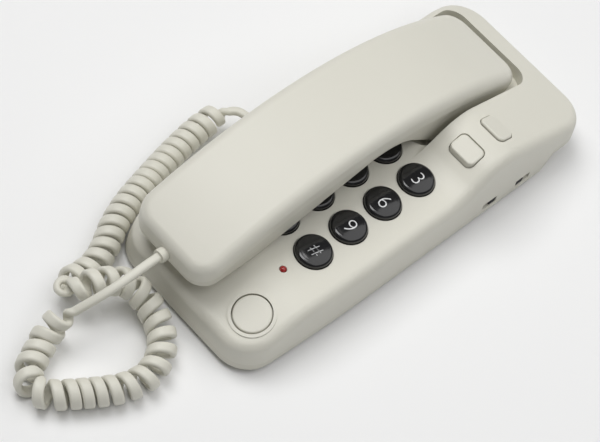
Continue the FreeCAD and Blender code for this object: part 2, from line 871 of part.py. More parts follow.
def over_seam():
    """Everything above the seam between the two shells, an arch a little flatter than the top."""
    peak = yz(arch_y, arch_top - seam_depth)
    near_reach = math.degrees(math.asin((arch_peak_setback + span / 12) / seam_radius))
    far_reach = math.degrees(math.asin((handset_length - arch_peak_setback + span / 12) / seam_radius))
    near, near_end = turn_arc(peak, 180, seam_radius, near_reach)
    far, far_end = turn_arc(peak, 0, seam_radius, -far_reach)
    a = yz(far_end.y, arch_top + span / 4)
    b = yz(near_end.y, arch_top + span / 4)
    return along_y([near, far, line(far_end, a), line(a, b), line(b, near_end)])


def over_bottom(rise):
    """Everything above the handset's lower side: flat mouth, rising grip and ear dropping into its pocket."""
    start = yz(handset_near - span / 4, mouth_z + rise)
    bend = yz(handset_near + mouth_length, mouth_z + rise)
    low, on_grip = turn_arc(bend, 0, grip_blend_radius, grip_rise_deg)
    grip = math.radians(grip_rise_deg)
    fall = math.radians(ear_drop_deg)
    turned = grip_blend_radius * (1 - math.cos(grip))
    climb = keypad_height + grip_peak - mouth_z - 2 * turned
    under_peak = on_grip + yz(climb / math.tan(grip), climb)
    peak, on_fall = turn_arc(under_peak, grip_rise_deg, grip_blend_radius, -(grip_rise_deg + ear_drop_deg))
    drop = on_fall.z - ear_z - rise - ear_blend_radius * (1 - math.cos(fall))
    over_ear = on_fall + yz(drop / math.tan(fall), -drop)
    ear, on_ear = turn_arc(over_ear, -ear_drop_deg, ear_blend_radius, ear_drop_deg)
    end = yz(handset_far + span / 4, ear_z + rise)
    a = yz(end.y, arch_top + span)
    b = yz(start.y, arch_top + span)
    edges = [line(start, bend), low, line(on_grip, under_peak), peak, line(on_fall, over_ear), ear,
             line(on_ear, end), line(end, a), line(a, b), line(b, start)]
    return along_y(edges)


receiver_y = handset_far - receiver_end_setback
microphone_y = handset_near + microphone_setback
weight_y = handset_near + weight_setback
weight_bottom = keypad_height + grip_peak + handset_wall + part_clearance
grommet_z = keypad_height + grommet_rise
handset_screw_places = [(handset_near + mouth_screw_setback, mouth_z),
                        (handset_near + ear_screw_setback, ear_z)]


def grommet_hole():
    return rod(grommet_diameter + 2 * fit_clearance, 2 * handset_wall + 1,
               Vector(handset_x, handset_near - 1, grommet_z), Vector(0, 1, 0))


def handset_hollow():
    plan = handset_plan(handset_wall + seam_step)
    return plan.common(under_arch(handset_wall)).common(over_bottom(handset_wall))


def handset_upper_shell(hollow):
    shell = handset_plan(0).common(under_arch(0)).common(over_seam())
    shell = shell.makeFillet(handset_top_radius, rim_edges(shell, True))
    whole = shell
    shell = shell.cut(hollow)
    for y, bottom in handset_screw_places:
        pad = bottom + handset_pad_height
        boss = rod(handset_boss_diameter, arch_top - pad, Vector(handset_x, y, pad))
        shell = shell.fuse(boss.common(whole.fuse(hollow)))
        shell = shell.cut(rod(handset_screw_diameter + 2 * screw_fit, handset_screw_length,
                              Vector(handset_x, y, pad - floor_wall)))
    return shell.cut(grommet_hole())


def handset_lower_shell(hollow):
    form = handset_plan(seam_step).common(under_arch(0)).common(over_bottom(0)).cut(over_seam())
    form = form.makeFillet(handset_bottom_radius, rim_edges(form, False))
    shell = form.cut(hollow)
    room = form.fuse(hollow)
    for y, bottom in handset_screw_places:
        pad = rod(handset_boss_diameter, handset_pad_height, Vector(handset_x, y, bottom))
        shell = shell.fuse(pad)
        seat = bottom + handset_pad_height - floor_wall
        place = Vector(handset_x, y, bottom)
        shell = shell.cut(rod(handset_screw_head + 4 * fit_clearance, seat - bottom, place))
        shell = shell.cut(rod(handset_screw_diameter + 4 * fit_clearance, handset_pad_height + 1, place))
    ribs = []
    for side in (-1, 1):
        y = weight_y + side * (weight_length / 2 - 2 * weight_rib)
        rib = box(handset_x - weight_width / 4, handset_x + weight_width / 4,
                  y - weight_rib / 2, y + weight_rib / 2, mouth_z, weight_bottom)
        ribs.append(rib.common(room))
    shell = shell.fuse(ribs)
    holes = [Vector(handset_x, receiver_y, ear_z - 1)]
    for i in range(ear_holes):
        angle = 2 * math.pi * i / ear_holes
        holes.append(holes[0] + Vector(math.cos(angle), math.sin(angle), 0) * ear_hole_ring)
    for hole in holes:
        shell = shell.cut(rod(ear_hole_diameter, handset_wall + 2, hole))
    for i in (-1, 0, 1):
        place = Vector(handset_x + i * mouth_hole_pitch, microphone_y, mouth_z - 1)
        shell = shell.cut(rod(mouth_hole_diameter, handset_wall + 2, place))
    return shell.cut(grommet_hole())


def receiver_capsule():
    base = ear_z + handset_wall
    rim = rod(receiver_diameter, receiver_rim_height, Vector(handset_x, receiver_y, base))
    can = rod(receiver_diameter - 2 * receiver_rim, receiver_height, Vector(handset_x, receiver_y, base))
    return rim.fuse(can)


def microphone_boot():
    base = Vector(handset_x, microphone_y, mouth_z + handset_wall)
    outer = rod(microphone_diameter + 2 * boot_wall, microphone_height + boot_base, base)
    bore = rod(microphone_diameter + 2 * fit_clearance, microphone_height + 1, base + Vector(0, 0, boot_base))
    port = rod(microphone_diameter / 2, microphone_height, base - Vector(0, 0, 1))
    return outer.cut(bore).cut(port)


def microphone_capsule():
    return rod(microphone_diameter, microphone_height,
               Vector(handset_x, microphone_y, mouth_z + handset_wall + boot_base))


def handset_weight():
    return box(handset_x - weight_width / 2, handset_x + weight_width / 2, weight_y - weight_length / 2,
               weight_y + weight_length / 2, weight_bottom, weight_bottom + weight_height)


def handset_screws():
    return Part.makeCompound([screw(handset_x, y, bottom + handset_pad_height - floor_wall, handset_screw_head,
                                    handset_screw_head_height, handset_screw_diameter, handset_screw_length)
                              for y, bottom in handset_screw_places])


def cord_grommet():
    axis = Vector(0, 1, 0)
    inner = handset_near + handset_wall + seam_step + fit_clearance
    outer = handset_near - grommet_reach
    body = rod(grommet_diameter, inner - outer, Vector(handset_x, outer, grommet_z), axis)
    flange = rod(grommet_flange, grommet_flange_width, Vector(handset_x, inner, grommet_z), axis)
    floor = box(-span, span, -span, span, mouth_z + handset_wall + fit_clearance, span)
    return body.fuse(flange.common(floor))


# Curly cord

cord_rest = coil_radius + wire_diameter / 2 + cord_floor_gap
cord_start = Vector(handset_x, handset_near - grommet_reach, grommet_z)
cord_end = Vector(plug_end, cord_socket_y, plug_height_z)
start_lead = cord_start - Vector(0, wire_diameter, 0)
end_lead = cord_end - Vector(wire_diameter, 0, 0)
hairpin = Vector(-31.5, -135.5, 11.5)
cord_route = [
    start_lead,
    start_lead - Vector(0, wire_diameter, 0),
    Vector(-13.5, -120, 28.5),
    Vector(-14.5, -130, 25.5),
    Vector(-17.5, -140, 19.5),
    Vector(-21, -148, 12.5),
    Vector(-20.5, -154, 7.5),
    Vector(-17.5, -160, cord_rest),
    Vector(-14.5, -166.5, cord_rest),
    Vector(-10.5, -171.5, cord_rest),
    Vector(-4.5, -172.5, cord_rest),
    Vector(1, -168, cord_rest),
    Vector(5.5, -161, cord_rest),
    Vector(11, -152, cord_rest),
    Vector(15.5, -143, cord_rest),
    Vector(17, -132.5, cord_rest),
    Vector(13, -122.5, cord_rest),
    Vector(6, -116, cord_rest),
    Vector(-2, -113, 7),
    Vector(-10.5, -112, 9),
    Vector(-18, -114.5, 12.5),
    Vector(-22, -121, 15),
    Vector(-24.5, -128, 16),
    Vector(-27.5, -134.5, 15),
    Vector(-32, -137.5, 11.5),
    Vector(-34.5, -133, 7.5),
    Vector(-34, -126, cord_rest),
    Vector(-34, -118.5, cord_rest),
    Vector(-37.2, -109.6, cord_rest),
    Vector(-44.2, -99, cord_rest),
    Vector(-49.2, -87, cord_rest),
    Vector(-52.5, -74, cord_rest),
    Vector(-55.5, -62, cord_rest),
    Vector(-58, -50, 6.5),
    Vector(-59.5, -39, 7.5),
    Vector(-59.5, -29, 9),
    Vector(-57, -21, 10.2),
    end_lead - Vector(wire_diameter, 0, 0),
    end_lead]


def widened(values, reach):
    """Largest value within reach of each place, then the mean of those."""
    places = range(len(values))
    peaks = [max(values[max(i - reach, 0):i + reach + 1]) for i in places]
    near = [peaks[max(i - reach, 0):i + reach + 1] for i in places]
    return [sum(part) / len(part) for part in near]


def eased(value):
    """Smooth step from 0 to 1."""
    value = min(max(value, 0), 1)
    return value * value * (3 - 2 * value)


def coil_points():
    """Points of the coiled wire's middle line, with the turns counted at each."""
    curve = Part.BSplineCurve()
    count = len(cord_route)
    repeats = [3] + [1] * (count - 3) + [3]
    curve.buildFromPolesMultsKnots(cord_route, repeats, list(range(count - 1)), False, 2)
    axis = curve.discretize(Number=int(curve.length() / axis_step))
    step = curve.length() / (len(axis) - 1)
    last = len(axis) - 1
    ahead = [(axis[min(i + 1, last)] - axis[max(i - 1, 0)]).normalize() for i in range(last + 1)]
    bend = [ahead[max(i - 1, 0)].getAngle(ahead[min(i + 1, last)]) / (2 * step) for i in range(last + 1)]
    bend = widened(bend, int(bend_reach / step))
    kink = min(range(last + 1), key=lambda i: (axis[i] - hairpin).Length)
    side = Vector(0, 0, 1).cross(ahead[0]).normalize()
    turns = 0
    points = []
    for i in range(last + 1):
        side = (side - ahead[i] * side.dot(ahead[i])).normalize()
        grown = eased((i * step - handset_lead) / coil_ramp)
        grown *= eased(((last - i) * step - plug_lead) / coil_ramp)
        pulled = math.exp(-((i - kink) * step / hairpin_reach) ** 4)
        radius = coil_radius * grown * (1 - (1 - hairpin_share) * pulled)
        pitch = (wire_diameter + turn_gap) / (1 - bend[i] * radius)
        pitch += max(hairpin_pitch - pitch, 0) * pulled
        pitch += max(ramp_pitch - pitch, 0) * (1 - grown)
        around = 2 * math.pi * turns
        out = side * math.cos(around) + ahead[i].cross(side) * math.sin(around)
        points.append((axis[i] + out * radius, turns))
        turns += step / pitch if grown > 0 else 0
    return points, step


def two_arcs(a, heading_a, b, heading_b):
    """Two arcs from a to b that leave and arrive along the given headings."""
    chord = b - a
    both = heading_a + heading_b
    spread = 2 * (1 - heading_a.dot(heading_b))
    along = chord.dot(both)
    if spread < 1e-6:
        reach = chord.dot(chord) / (2 * along)
    else:
        reach = (math.sqrt(along * along + spread * chord.dot(chord)) - along) / spread
    middle = (a + heading_a * reach + b - heading_b * reach) * 0.5
    return [tangent_arc(a, heading_a, middle), tangent_arc(b, heading_b * -1, middle, True)]


def tangent_arc(start, heading, end, backwards=False):
    """Arc from start along heading to end, or a line where it hardly bends."""
    chord = end - start
    turned = heading.getAngle(chord)
    if turned < 1e-4:
        return Part.LineSegment(end, start) if backwards else Part.LineSegment(start, end)
    out = (chord * (heading.dot(chord) / chord.dot(chord)) - heading).normalize() * -1
    crown = start + chord * 0.5 + out * (chord.Length / 2 * math.tan(turned / 2))
    return Part.Arc(end, crown, start) if backwards else Part.Arc(start, crown, end)


def handset_cord():
    points, step = coil_points()
    picks = [0]
    for i in range(1, len(points)):
        turned = points[i][1] - points[picks[-1]][1]
        if turned >= 0.5 or (i - picks[-1]) * step >= lead_step:
            picks.append(i)
    if (len(points) - 1 - picks[-1]) * step < lead_step / 2:
        picks.pop()
    picks.append(len(points) - 1)
    headings = [(points[i + 1][0] - points[i - 1][0]).normalize() for i in picks[1:-1]]
    headings = [Vector(0, -1, 0)] + headings + [Vector(1, 0, 0)]
    pieces = [Part.LineSegment(cord_start, start_lead)]
    for n in range(len(picks) - 1):
        pieces += two_arcs(points[picks[n]][0], headings[n], points[picks[n + 1]][0], headings[n + 1])
    pieces.append(Part.LineSegment(end_lead, cord_end))
    route = Part.Wire([piece.toShape() for piece in pieces])
    radii = [edge.Curve.Radius for edge in route.Edges if edge.Curve.TypeId == "Part::GeomCircle"]
    section = Part.Wire(Part.makeCircle(wire_diameter / 2, cord_start, Vector(0, -1, 0)))
    cord = route.makePipeShell([section], True, False)
    full = math.pi * wire_diameter ** 2 / 4 * route.Length
    print("cord length %.0f, turns %.1f, arcs %d, tightest radius %.2f, volume against section %.4f" % (
        route.Length, points[-1][1], len(radii), min(radii), cord.Volume / full))
    print("cord least gap between its turns %.2f" % least_gap(route))
    return cord


def least_gap(route):
    """Least gap between parts of the wire that are more than one turn's bend apart."""
    count = int(route.Length / (wire_diameter / 4))
    spots = route.discretize(Number=count)
    apart = int(2 * coil_radius / (route.Length / count))
    cells = {}
    for i, spot in enumerate(spots):
        cell = tuple(int(v // wire_diameter) for v in spot)
        cells.setdefault(cell, []).append(i)
    least = wire_diameter
    sides = [(a, b, c) for a in (-1, 0, 1) for b in (-1, 0, 1) for c in (-1, 0, 1)]
    for (u, v, w), members in cells.items():
        near = [i for a, b, c in sides for i in cells.get((u + a, v + b, w + c), [])]
        for i in members:
            for j in near:
                if j - i > apart:
                    least = min(least, (spots[i] - spots[j]).Length - wire_diameter)
    return least


os.makedirs("parts", exist_ok=True)
form = base_form(0, True).common(underside(0))
inside = base_form(shell_wall, False)
export("base_upper_cover", base_upper_cover(form, inside))
export("base_lower_cover", base_lower_cover(form, inside))
export("base_feet", base_feet())
export("base_screws", base_screws())
export("main_board", main_board())
export("board_screws", board_fixings())
export("keypad_mat", keypad_mat())
export("led_lens", led_lens())
export("ringer_disc", ringer_disc())
export("hook_switch", hook_switch())
export("hook_plunger", hook_plunger())
export("ringer_switch_body", switch_body(ringer_switch_setback))
export("dial_switch_body", switch_body(dial_switch_setback))
export("ringer_switch_knob", switch_knob(ringer_switch_setback, 1))
export("dial_switch_knob", switch_knob(dial_switch_setback, -1))
export("line_jack", line_jack(form))
export("handset_jack", handset_jack(form))
export("cord_plug", cord_plug())
for name, x, y in key_places():
    export("key_" + name, key(name, x, y))
export("redial_button", redial_button())
export("mute_button", function_button(mute_y, mute_tilt_deg))
export("flash_button", function_button(flash_y, flash_tilt_deg))
hollow = handset_hollow()
export("handset_upper_shell", handset_upper_shell(hollow))
export("handset_lower_shell", handset_lower_shell(hollow))
export("receiver_capsule", receiver_capsule())
export("microphone_boot", microphone_boot())
export("microphone_capsule", microphone_capsule())
export("handset_weight", handset_weight())
export("handset_screws", handset_screws())
export("cord_grommet", cord_grommet())
export("handset_cord", handset_cord())
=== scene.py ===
import math
import bpy
import numpy as np
from mathutils import Matrix, Vector


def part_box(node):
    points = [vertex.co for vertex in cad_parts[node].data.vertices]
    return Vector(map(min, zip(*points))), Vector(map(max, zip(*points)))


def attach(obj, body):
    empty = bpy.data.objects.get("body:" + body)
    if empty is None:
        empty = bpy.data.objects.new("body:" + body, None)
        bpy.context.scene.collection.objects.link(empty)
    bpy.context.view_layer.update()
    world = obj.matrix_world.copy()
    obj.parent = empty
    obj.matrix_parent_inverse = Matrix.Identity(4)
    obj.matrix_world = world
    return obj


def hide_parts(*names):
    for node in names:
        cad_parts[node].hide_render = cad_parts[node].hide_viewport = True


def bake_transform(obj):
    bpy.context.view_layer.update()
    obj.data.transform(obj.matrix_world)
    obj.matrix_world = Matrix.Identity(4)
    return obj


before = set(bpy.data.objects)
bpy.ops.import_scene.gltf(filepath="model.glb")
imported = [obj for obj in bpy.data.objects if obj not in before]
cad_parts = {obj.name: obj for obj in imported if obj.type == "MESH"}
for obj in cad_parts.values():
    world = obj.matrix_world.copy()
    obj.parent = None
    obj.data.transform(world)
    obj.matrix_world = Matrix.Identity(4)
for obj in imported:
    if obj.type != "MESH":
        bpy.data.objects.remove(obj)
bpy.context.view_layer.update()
print("frame loaded,", len(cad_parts), "nodes")


# small helpers

helperLook = {"seamMerge": 0.000001, "bevelSegments": 3}


def deselectAll():
    bpy.ops.object.select_all(action="DESELECT")


def makeActive(piece):
    deselectAll()
    piece.select_set(True)
    bpy.context.view_layer.objects.active = piece


def applyPlace(piece):
    makeActive(piece)
    bpy.ops.object.transform_apply(location=True, rotation=True, scale=True)


def applyModifiers(piece):
    makeActive(piece)
    for modifier in list(piece.modifiers):
        bpy.ops.object.modifier_apply(modifier=modifier.name)


def setMaterial(piece, material):
    piece.data.materials.clear()
    piece.data.materials.append(material)


def smoothByAngle(piece, angleDeg):
    makeActive(piece)
    bpy.ops.object.shade_smooth_by_angle(angle=math.radians(angleDeg))


def linkNew(name, mesh):
    piece = bpy.data.objects.new(name, mesh)
    bpy.context.scene.collection.objects.link(piece)
    return piece


def lathe(name, profile, sides):
    # a profile of radius and height spun about the upright axis
    mesh = bpy.data.meshes.new(name)
    mesh.from_pydata([(r, 0, z) for r, z in profile], [(i, i + 1) for i in range(len(profile) - 1)], [])
    piece = linkNew(name, mesh)
    makeActive(piece)
    bpy.ops.object.mode_set(mode="EDIT")
    bpy.ops.mesh.select_all(action="SELECT")
    bpy.ops.mesh.spin(steps=sides, angle=2 * math.pi, center=(0, 0, 0), axis=(0, 0, 1))
    bpy.ops.mesh.select_all(action="SELECT")
    bpy.ops.mesh.remove_doubles(threshold=helperLook["seamMerge"])
    bpy.ops.mesh.normals_make_consistent(inside=False)
    bpy.ops.object.mode_set(mode="OBJECT")
    return piece


def roundCorner(outer, inner, high, low, steps):
    # quarter turn from the side of a disc to its top
    turns = [math.pi / 2 * i / steps for i in range(steps + 1)]
    return [(inner + (outer - inner) * math.cos(t), low + (high - low) * math.sin(t)) for t in turns]


def copyTo(piece, name, place):
    copy = linkNew(name, piece.data.copy())
    copy.location = place
    applyPlace(copy)
    return copy


def joinAll(pieces, name):
    makeActive(pieces[0])
    for piece in pieces:
        piece.select_set(True)
    bpy.ops.object.join()
    whole = bpy.context.object
    whole.name = name
    return whole


def bevelBox(name, low, high, width):
    deselectAll()
    bpy.ops.mesh.primitive_cube_add(size=1, location=tuple((Vector(low) + Vector(high)) / 2))
    piece = bpy.context.object
    piece.name = name
    piece.scale = Vector(high) - Vector(low)
    applyPlace(piece)
    bevel = piece.modifiers.new("roundEdges", "BEVEL")
    bevel.width = width
    bevel.segments = helperLook["bevelSegments"]
    applyModifiers(piece)
    return piece


def rideOn(piece, body, slot, *nodes):
    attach(piece, body)
    if nodes:
        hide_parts(*nodes)


# shader node groups

def newGroup(name, inputs, outputs):
    group = bpy.data.node_groups.new(name, "ShaderNodeTree")
    for label, kind, value in inputs:
        socket = group.interface.new_socket(label, in_out="INPUT", socket_type=kind)
        socket.default_value = value
    for label, kind in outputs:
        group.interface.new_socket(label, in_out="OUTPUT", socket_type=kind)
    source = group.nodes.new("NodeGroupInput")
    result = group.nodes.new("NodeGroupOutput")
    return group, source, result


def addNoise(tree, scale, detail, vector):
    noise = tree.nodes.new("ShaderNodeTexNoise")
    noise.inputs["Detail"].default_value = detail
    if isinstance(scale, (int, float)):
        noise.inputs["Scale"].default_value = scale
    else:
        tree.links.new(scale, noise.inputs["Scale"])
    tree.links.new(vector, noise.inputs["Vector"])
    return noise


def addMath(tree, operation, a, b):
    node = tree.nodes.new("ShaderNodeMath")
    node.operation = operation
    for socket, value in zip(node.inputs, (a, b)):
        if isinstance(value, (int, float)):
            socket.default_value = value
        else:
            tree.links.new(value, socket)
    return node.outputs[0]


def addMix(tree, factor, a, b):
    node = tree.nodes.new("ShaderNodeMix")
    node.data_type = "RGBA"
    tree.links.new(factor, node.inputs["Factor"])
    for socket, value in ((node.inputs["A"], a), (node.inputs["B"], b)):
        if isinstance(value, tuple):
            socket.default_value = value
        else:
            tree.links.new(value, socket)
    return node.outputs["Result"]


grainLook = {"slowScale": 28.0, "slowDetail": 3.0, "fineDetail": 2.0, "slowShare": 0.75}


def makeMouldGroup():
    # fine spark-eroded grain with slow, faint changes of tone
    group, source, result = newGroup("mouldedSurface", [
        ("Light", "NodeSocketColor", (0.8, 0.8, 0.8, 1)),
        ("Dark", "NodeSocketColor", (0.7, 0.7, 0.7, 1)),
        ("Grain Scale", "NodeSocketFloat", 2600.0),
        ("Roughness Low", "NodeSocketFloat", 0.4),
        ("Roughness Spread", "NodeSocketFloat", 0.1),
        ("Vector", "NodeSocketVector", (0, 0, 0))], [
        ("Color", "NodeSocketColor"),
        ("Roughness", "NodeSocketFloat"),
        ("Grain", "NodeSocketFloat")])
    vector = source.outputs["Vector"]
    slow = addNoise(group, grainLook["slowScale"], grainLook["slowDetail"], vector)
    fine = addNoise(group, source.outputs["Grain Scale"], grainLook["fineDetail"], vector)
    tone = addMath(group, "MULTIPLY", slow.outputs["Fac"], grainLook["slowShare"])
    speck = addMath(group, "MULTIPLY", fine.outputs["Fac"], 1 - grainLook["slowShare"])
    factor = addMath(group, "ADD", tone, speck)
    color = addMix(group, factor, source.outputs["Light"], source.outputs["Dark"])
    group.links.new(color, result.inputs["Color"])
    spread = addMath(group, "MULTIPLY", slow.outputs["Fac"], source.outputs["Roughness Spread"])
    rough = addMath(group, "ADD", spread, source.outputs["Roughness Low"])
    group.links.new(rough, result.inputs["Roughness"])
    group.links.new(fine.outputs["Fac"], result.inputs["Grain"])
    return group


mouldGroup = makeMouldGroup()


def makeMoulded(name, look):
    material = bpy.data.materials.new(name)
    material.use_nodes = True
    tree = material.node_tree
    shader = tree.nodes["Principled BSDF"]
    shader.inputs["Metallic"].default_value = look.get("metallic", 0.0)
    shader.inputs["IOR"].default_value = look.get("ior", 1.46)
    shader.inputs["Coat Weight"].default_value = look.get("coat", 0.0)
    shader.inputs["Coat Roughness"].default_value = 0.05
    surface = tree.nodes.new("ShaderNodeGroup")
    surface.node_tree = mouldGroup
    surface.inputs["Light"].default_value = (*look["light"], 1)
    surface.inputs["Dark"].default_value = (*look["dark"], 1)
    surface.inputs["Grain Scale"].default_value = look["grainScale"]
    surface.inputs["Roughness Low"].default_value = look["rough"]
    surface.inputs["Roughness Spread"].default_value = look.get("roughSpread", 0.08)
    place = tree.nodes.new("ShaderNodeTexCoord")
    bump = tree.nodes.new("ShaderNodeBump")
    bump.inputs["Strength"].default_value = look["bump"]
    bump.inputs["Distance"].default_value = look["bumpDepth"]
    tree.links.new(place.outputs["Object"], surface.inputs["Vector"])
    tree.links.new(surface.outputs["Color"], shader.inputs["Base Color"])
    tree.links.new(surface.outputs["Roughness"], shader.inputs["Roughness"])
    tree.links.new(surface.outputs["Grain"], bump.inputs["Height"])
    tree.links.new(bump.outputs["Normal"], shader.inputs["Normal"])
    return material


ivoryMoulding = makeMoulded("ivoryMoulding", {
    "light": (0.735, 0.72, 0.64), "dark": (0.695, 0.68, 0.60), "grainScale": 2600,
    "rough": 0.40, "bump": 0.12, "bumpDepth": 0.00025})
# a darker copy of the ivory for the lower covers: the darker tone is painted shade for their low sides that
# sit in shadow, the higher roughness is the surface's own
ivoryLowerPaintedShade = makeMoulded("ivoryLowerPaintedShade", {
    "light": (0.70, 0.685, 0.60), "dark": (0.655, 0.64, 0.56), "grainScale": 2600,
    "rough": 0.44, "bump": 0.12, "bumpDepth": 0.00025})
ivoryButton = makeMoulded("ivoryButton", {
    "light": (0.725, 0.71, 0.63), "dark": (0.685, 0.67, 0.59), "grainScale": 3200,
    "rough": 0.38, "bump": 0.08, "bumpDepth": 0.0002})
keyGloss = makeMoulded("keyGloss", {
    "light": (0.012, 0.012, 0.013), "dark": (0.008, 0.008, 0.009), "grainScale": 900,
    "rough": 0.09, "roughSpread": 0.05, "bump": 0.01, "bumpDepth": 0.0001, "coat": 0.3, "ior": 1.5})
figureWhite = makeMoulded("figureWhite", {
    "light": (0.86, 0.87, 0.88), "dark": (0.80, 0.81, 0.82), "grainScale": 2000,
    "rough": 0.45, "bump": 0.02, "bumpDepth": 0.0001})
knobBlack = makeMoulded("knobBlack", {
    "light": (0.030, 0.030, 0.031), "dark": (0.020, 0.020, 0.021), "grainScale": 2400,
    "rough": 0.45, "bump": 0.1, "bumpDepth": 0.0002})
lampRed = makeMoulded("lampRed", {
    "light": (0.42, 0.018, 0.016), "dark": (0.30, 0.010, 0.010), "grainScale": 700,
    "rough": 0.12, "bump": 0.01, "bumpDepth": 0.0001, "coat": 0.5})
cordVinyl = makeMoulded("cordVinyl", {
    "light": (0.75, 0.735, 0.65), "dark": (0.69, 0.675, 0.59), "grainScale": 1500,
    "rough": 0.40, "bump": 0.06, "bumpDepth": 0.0002})
plugClear = makeMoulded("plugClear", {
    "light": (0.70, 0.70, 0.67), "dark": (0.62, 0.62, 0.59), "grainScale": 600,
    "rough": 0.16, "bump": 0.02, "bumpDepth": 0.0001})
socketDark = makeMoulded("socketDark", {
    "light": (0.060, 0.060, 0.060), "dark": (0.045, 0.045, 0.046), "grainScale": 2200,
    "rough": 0.5, "bump": 0.1, "bumpDepth": 0.0002})
footRubber = makeMoulded("footRubber", {
    "light": (0.045, 0.044, 0.042), "dark": (0.028, 0.028, 0.027), "grainScale": 1600,
    "rough": 0.75, "bump": 0.25, "bumpDepth": 0.0003})
matRubber = makeMoulded("matRubber", {
    "light": (0.30, 0.30, 0.29), "dark": (0.25, 0.25, 0.24), "grainScale": 1500,
    "rough": 0.65, "bump": 0.1, "bumpDepth": 0.0002})
boardBrown = makeMoulded("boardBrown", {
    "light": (0.30, 0.19, 0.075), "dark": (0.23, 0.14, 0.055), "grainScale": 400,
    "rough": 0.5, "bump": 0.05, "bumpDepth": 0.0002})
screwSteel = makeMoulded("screwSteel", {
    "light": (0.60, 0.60, 0.58), "dark": (0.48, 0.48, 0.47), "grainScale": 1800,
    "rough": 0.28, "bump": 0.05, "bumpDepth": 0.0001, "metallic": 1.0})
discBrass = makeMoulded("discBrass", {
    "light": (0.66, 0.49, 0.20), "dark": (0.54, 0.39, 0.15), "grainScale": 900,
    "rough": 0.32, "bump": 0.04, "bumpDepth": 0.0001, "metallic": 1.0})
capsuleSteel = makeMoulded("capsuleSteel", {
    "light": (0.52, 0.52, 0.51), "dark": (0.42, 0.42, 0.41), "grainScale": 1200,
    "rough": 0.34, "bump": 0.05, "bumpDepth": 0.0001, "metallic": 1.0})
bootRubber = makeMoulded("bootRubber", {
    "light": (0.030, 0.030, 0.030), "dark": (0.018, 0.018, 0.018), "grainScale": 1600,
    "rough": 0.7, "bump": 0.2, "bumpDepth": 0.0003})
print("materials made")


# casings and small parts carried over from the solids

carryLook = {"merge": 0.000004, "smoothDeg": 32.0}


def carryOver(node, body, material, slot):
    # a merged, smooth copy stands for the loose triangles of the node
    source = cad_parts[node]
    piece = linkNew(node + "_shape", source.data.copy())
    makeActive(piece)
    bpy.ops.object.mode_set(mode="EDIT")
    bpy.ops.mesh.select_all(action="SELECT")
    bpy.ops.mesh.remove_doubles(threshold=carryLook["merge"])
    bpy.ops.object.mode_set(mode="OBJECT")
    if piece.data.has_custom_normals:
        bpy.ops.mesh.customdata_custom_splitnormals_clear()
    smoothByAngle(piece, carryLook["smoothDeg"])
    weighted = piece.modifiers.new("evenNormals", "WEIGHTED_NORMAL")
    weighted.keep_sharp = True
    applyModifiers(piece)
    setMaterial(piece, material)
    rideOn(piece, body, slot, node)


# the lower covers take the darker ivory copy, which paints shade on them
for node, body, material, slot in [
        ("base_upper_cover", "base", ivoryMoulding, "casing"),
        ("base_lower_cover", "base", ivoryLowerPaintedShade, "casing_lower"),
        ("handset_upper_shell", "handset", ivoryMoulding, "casing"),
        ("handset_lower_shell", "handset", ivoryLowerPaintedShade, "casing_lower"),
        ("redial_button", "redial_button", ivoryButton, "button_ivory"),
        ("mute_button", "mute_button", ivoryButton, "button_ivory"),
        ("flash_button", "flash_button", ivoryButton, "button_ivory"),
        ("cord_grommet", "handset", cordVinyl, "cord_vinyl"),
        ("cord_plug", "base", plugClear, "plug_clear"),
        ("hook_plunger", "hook_plunger", knobBlack, "knob_black"),
        ("line_jack", "base", socketDark, "socket_dark"),
        ("handset_jack", "base", socketDark, "socket_dark"),
        ("main_board", "base", boardBrown, "board"),
        ("board_screws", "base", screwSteel, "screw_steel"),
        ("keypad_mat", "base", matRubber, "mat_rubber"),
        ("ringer_disc", "base", discBrass, "disc_brass"),
        ("hook_switch", "base", socketDark, "socket_dark"),
        ("ringer_switch_body", "base", socketDark, "socket_dark"),
        ("dial_switch_body", "base", socketDark, "socket_dark"),
        ("receiver_capsule", "handset", capsuleSteel, "capsule_steel"),
        ("microphone_capsule", "handset", capsuleSteel, "capsule_steel"),
        ("microphone_boot", "handset", bootRubber, "boot_rubber"),
        ("handset_weight", "handset", capsuleSteel, "capsule_steel")]:
    carryOver(node, body, material, slot)
print("casings carried over")


# keys

keyLook = {"stem": 0.005, "flange": 0.0092, "flangeLow": 0.0064, "flangeHigh": 0.0052, "radius": 0.008,
           "rim": 0.0062, "rimDrop": 0.0016, "rimSteps": 8, "dome": 0.00045, "rings": 8, "sides": 96,
           "smoothDeg": 35.0, "figureHeight": 0.0064, "figureShift": (0.00075, -0.0003),
           "figureLift": 0.00003, "textSize": 0.01, "textThinning": -0.0002, "textSteps": 8}
# the two signs are drawn smaller than the figures
signScale = {"star": 0.6, "hash": 0.86}
keyFigures = {"1": "1", "2": "2", "3": "3", "4": "4", "5": "5", "6": "6", "7": "7", "8": "8", "9": "9",
              "star": "*", "0": "0", "hash": "#"}


def domeDrop(radius):
    return keyLook["dome"] * (radius / keyLook["rim"]) ** 2


def modelKey(height):
    # stem and flange below the cover, a rounded rim and a slightly domed face above it
    look = keyLook
    rim = look["rim"]
    rings = [rim * (1 - i / look["rings"]) for i in range(1, look["rings"] + 1)]
    face = [(radius, -domeDrop(radius)) for radius in rings]
    edge = roundCorner(look["radius"], rim, -look["dome"], -look["dome"] - look["rimDrop"], look["rimSteps"])
    profile = [(0, -height), (look["stem"], -height), (look["stem"], -look["flangeLow"]),
               (look["flange"], -look["flangeLow"]), (look["flange"], -look["flangeHigh"]),
               (look["radius"], -look["flangeHigh"])] + edge + face
    key = lathe("keyModel", profile, look["sides"])
    smoothByAngle(key, look["smoothDeg"])
    setMaterial(key, keyGloss)
    return key


